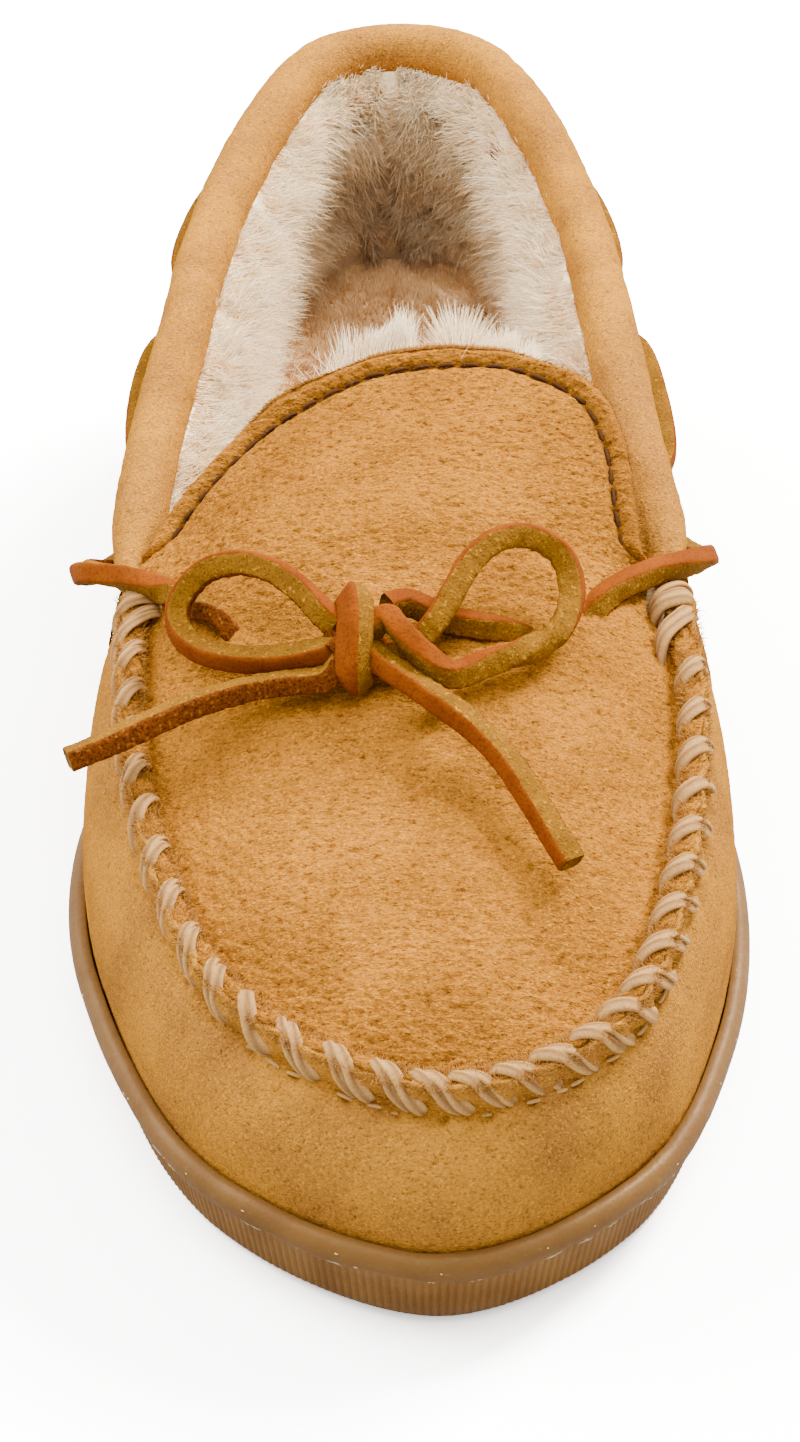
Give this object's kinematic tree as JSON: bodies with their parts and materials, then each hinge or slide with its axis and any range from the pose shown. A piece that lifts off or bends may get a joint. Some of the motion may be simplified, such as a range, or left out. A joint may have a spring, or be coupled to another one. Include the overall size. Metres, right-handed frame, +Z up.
{
  "type": "moccasin slipper",
  "caption": "Right-foot suede moccasin slipper with pile lining, ribbed rubber sole, puckered whip-stitched apron, padded collar and a rawhide lace tied in a bow.",
  "frame": {"origin": "bottom centre of the bounding box, on the ground under the middle of the shoe", "axes": "+Y from toe to heel, +Z up, +X to the inner side of the right foot"},
  "size_m": [0.1081, 0.2781, 0.0796],
  "materials": {
    "rib_rubber": "matte ribbed gum rubber",
    "band_rubber": "smooth gum rubber, slightly see-through",
    "foam": "matte foam",
    "board": "fibre board",
    "pile": "long soft pile",
    "suede": "brushed suede nap",
    "thread": "thick waxed cord",
    "brown_thread": "waxed sewing thread",
    "label": "plain woven tape",
    "rawhide": "waxy rawhide, rough at the cut sides"
  },
  "bodies": {
    "root": {"outsole": "rib_rubber", "foxing_band": "band_rubber", "midsole": "foam", "insole_board": "board", "insole_foam": "foam", "sock_lining": "pile", "vamp": "suede", "quarter_left": "suede", "quarter_right": "suede", "back_stay": "suede", "heel_counter": "board", "apron": "suede", "apron_edge": "suede", "vamp_lining": "pile", "apron_lining": "pile", "quarter_lining_left": "pile", "quarter_lining_right": "pile", "collar_roll": "suede", "collar_foam": "foam", "whip_stitches": "thread", "vamp_stitching": "thread", "side_seam_left": "brown_thread", "side_seam_right": "brown_thread", "size_label": "label", "lace_collar": "rawhide", "bow_knot": "rawhide"},
    "tongue": {"tongue": "suede", "tongue_lining": "pile", "tongue_stitching": "brown_thread"},
    "loop_left": {"bow_loop_left": "rawhide"},
    "loop_right": {"bow_loop_right": "rawhide"},
    "tail_left": {"bow_tail_left": "rawhide"},
    "tail_right": {"bow_tail_right": "rawhide"}
  },
  "joints": [
    {"name": "tongue_lift", "type": "hinge", "parent": "root", "child": "tongue", "pos_m": [0, -0.0285, 0.07], "axis": [1, 0, 0], "range_deg": [0, 35], "stiffness_Nm_per_rad": 0.05},
    {"name": "loop_left_lift", "type": "hinge", "parent": "root", "child": "loop_left", "pos_m": [-0.0112, -0.055, 0.0714], "axis": [0, 1, 0], "range_deg": [0, 45]},
    {"name": "loop_right_lift", "type": "hinge", "parent": "root", "child": "loop_right", "pos_m": [-0.0028, -0.0565, 0.0717], "axis": [0, -1, 0], "range_deg": [0, 45]},
    {"name": "tail_left_lift", "type": "hinge", "parent": "root", "child": "tail_left", "pos_m": [-0.0108, -0.0618, 0.0656], "axis": [0, 1, 0], "range_deg": [0, 45]},
    {"name": "tail_right_lift", "type": "hinge", "parent": "root", "child": "tail_right", "pos_m": [-0.0034, -0.0618, 0.0676], "axis": [-0.76, -0.65, 0], "range_deg": [0, 40]}
  ]
}
